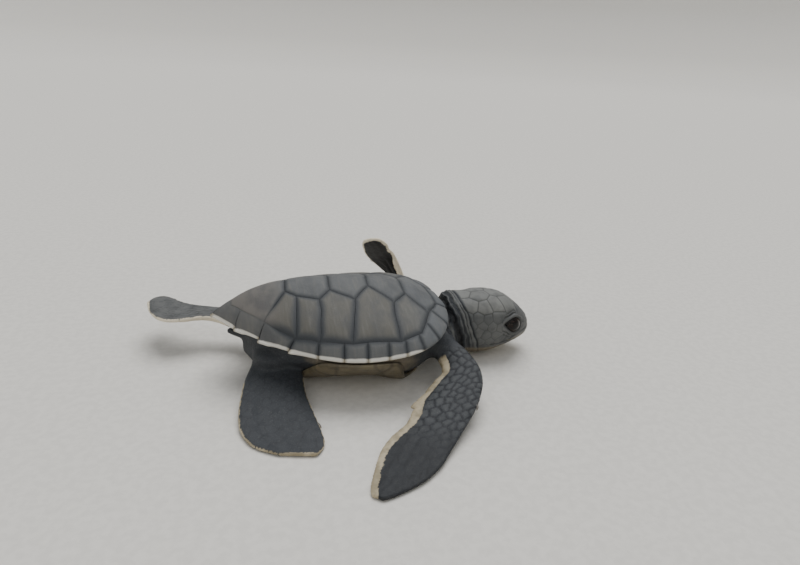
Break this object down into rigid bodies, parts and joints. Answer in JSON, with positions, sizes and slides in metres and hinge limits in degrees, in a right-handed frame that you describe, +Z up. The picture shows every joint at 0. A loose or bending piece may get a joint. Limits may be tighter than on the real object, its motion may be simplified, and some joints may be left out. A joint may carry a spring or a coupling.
{
  "type": "green sea turtle hatchling still model",
  "caption": "Life-size hatchling green sea turtle crawling: plated oval shell, white-edged paddle flippers, one front flipper raised.",
  "frame": {"origin": "middle of the flat face of the plastron that the turtle rests on, below the shell's middle", "axes": "+X towards the head, +Y towards the turtle's left, +Z up"},
  "size_m": [0.0856, 0.0773, 0.0221],
  "materials": {
    "scute": "satin, horn-like",
    "rim": "satin, horn-like, pale outer edge",
    "plastron": "satin, pale horn",
    "skin": "matte, scaly skin",
    "beak": "satin horn",
    "eye": "wet gloss",
    "claw": "satin horn"
  },
  "bodies": {
    "root": {"nuchal": "scute", "vertebral_1": "scute", "vertebral_2": "scute", "vertebral_3": "scute", "vertebral_4": "scute", "vertebral_5": "scute", "costal_right_1": "scute", "costal_right_2": "scute", "costal_right_3": "scute", "costal_right_4": "scute", "costal_right_5": "scute", "costal_left_1": "scute", "costal_left_2": "scute", "costal_left_3": "scute", "costal_left_4": "scute", "marginal_right_1": "rim", "marginal_right_2": "rim", "marginal_right_3": "rim", "marginal_right_4": "rim", "marginal_right_5": "rim", "marginal_right_6": "rim", "marginal_right_7": "rim", "marginal_right_8": "rim", "marginal_right_9": "rim", "marginal_right_10": "rim", "marginal_right_11": "rim", "marginal_right_12": "rim", "marginal_left_1": "rim", "marginal_left_2": "rim", "marginal_left_3": "rim", "marginal_left_4": "rim", "marginal_left_5": "rim", "marginal_left_6": "rim", "marginal_left_7": "rim", "marginal_left_8": "rim", "marginal_left_9": "rim", "marginal_left_10": "rim", "marginal_left_11": "rim", "marginal_left_12": "rim", "plastron": "plastron", "trunk": "skin", "neck": "skin", "head": "skin", "tail": "skin", "front_flipper_right": "skin", "front_flipper_left": "skin", "rear_flipper_right": "skin", "rear_flipper_left": "skin", "lower_jaw": "beak", "eye_right": "eye", "eye_left": "eye", "claw_front_right": "claw", "claw_front_left": "claw", "claw_rear_right": "claw", "claw_rear_left": "claw"}
  },
  "joints": []
}
